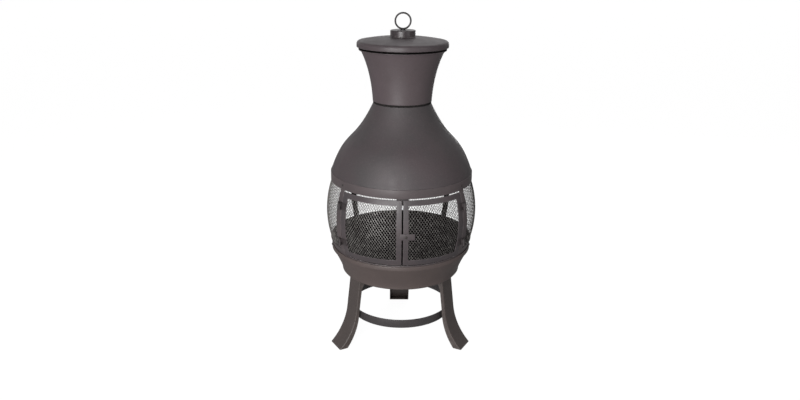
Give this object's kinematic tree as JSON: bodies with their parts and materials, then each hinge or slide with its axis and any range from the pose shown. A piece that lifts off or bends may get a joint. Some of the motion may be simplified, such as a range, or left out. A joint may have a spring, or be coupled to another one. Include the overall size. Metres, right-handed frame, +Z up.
{
  "type": "chiminea",
  "caption": "Steel garden chiminea: lidded flared flue, bell hood, mesh firebox with two curved mesh doors, fire bowl, and channel legs tied by a foot ring.",
  "frame": {"origin": "on the floor, on the flue's vertical axis", "axes": "+Z up along the flue; the doors face -Y; +X is to the right of someone facing the doors"},
  "size_m": [0.5028, 0.5148, 1.1071],
  "materials": {
    "flue_paint": "satin brown-black high-temperature paint on spun steel",
    "hood_paint": "satin brown-black high-temperature paint on spun steel",
    "bowl_paint": "satin brown-black high-temperature paint on pressed steel",
    "frame_paint": "satin brown-black paint on steel strip",
    "leg_paint": "satin brown-black paint on folded sheet steel",
    "mesh": "black-brown painted expanded steel mesh",
    "ring_wire": "black painted wire",
    "fasteners": "black-brown painted steel screws, nuts, pins and rivets",
    "seal": "black woven stove-rope seal",
    "grate_iron": "heat-blackened welded steel bar"
  },
  "bodies": {
    "firebox": {"fire_bowl": "bowl_paint", "lower_ring": "bowl_paint", "upper_ring": "hood_paint", "front_post_left": "frame_paint", "front_post_right": "frame_paint", "rear_post_left": "frame_paint", "rear_post_right": "frame_paint", "side_mesh_left": "mesh", "side_mesh_right": "mesh", "rear_mesh": "mesh", "hood": "hood_paint", "flue_gasket": "seal", "flue_collar": "flue_paint", "collar_screws": "fasteners", "hood_screws": "fasteners", "bowl_screws": "fasteners", "hinge_lugs_left": "frame_paint", "hinge_lugs_right": "frame_paint", "hinge_pins_left": "fasteners", "hinge_pins_right": "fasteners", "door_stop": "frame_paint", "fire_grate": "grate_iron", "leg_left": "leg_paint", "leg_right": "leg_paint", "leg_rear": "leg_paint", "leg_bolts": "fasteners", "leg_nuts": "fasteners", "foot_ring": "leg_paint", "foot_ring_bolts": "fasteners", "foot_ring_nuts": "fasteners", "foot_ring_spacers": "leg_paint"},
    "left_door": {"left_door_frame": "frame_paint", "left_door_mesh": "mesh", "left_door_eyes": "frame_paint"},
    "right_door": {"right_door_frame": "frame_paint", "right_door_mesh": "mesh", "right_door_eyes": "frame_paint", "latch_stud": "fasteners"},
    "turn_button": {"turn_button": "frame_paint"},
    "lid": {"lid_cover": "flue_paint", "lid_drum": "flue_paint", "lid_ring": "ring_wire", "lid_washer": "fasteners", "lid_nut": "fasteners", "lid_feet": "flue_paint"}
  },
  "joints": [
    {"name": "left_door_hinge", "type": "hinge", "parent": "firebox", "child": "left_door", "pos_m": [-0.19918, -0.16477, 0.461], "axis": [0, 0, -1], "range_deg": [0, 110]},
    {"name": "right_door_hinge", "type": "hinge", "parent": "firebox", "child": "right_door", "pos_m": [0.19918, -0.16477, 0.461], "axis": [0, 0, 1], "range_deg": [0, 110]},
    {"name": "button_turn", "type": "hinge", "parent": "right_door", "child": "turn_button", "pos_m": [0.011, -0.25606, 0.4535], "axis": [0.0429, -0.9991, 0], "range_deg": [0, 90]},
    {"name": "lid_lift", "type": "slide", "parent": "firebox", "child": "lid", "axis": [0, 0, 1], "range_m": [0, 0.15]}
  ]
}
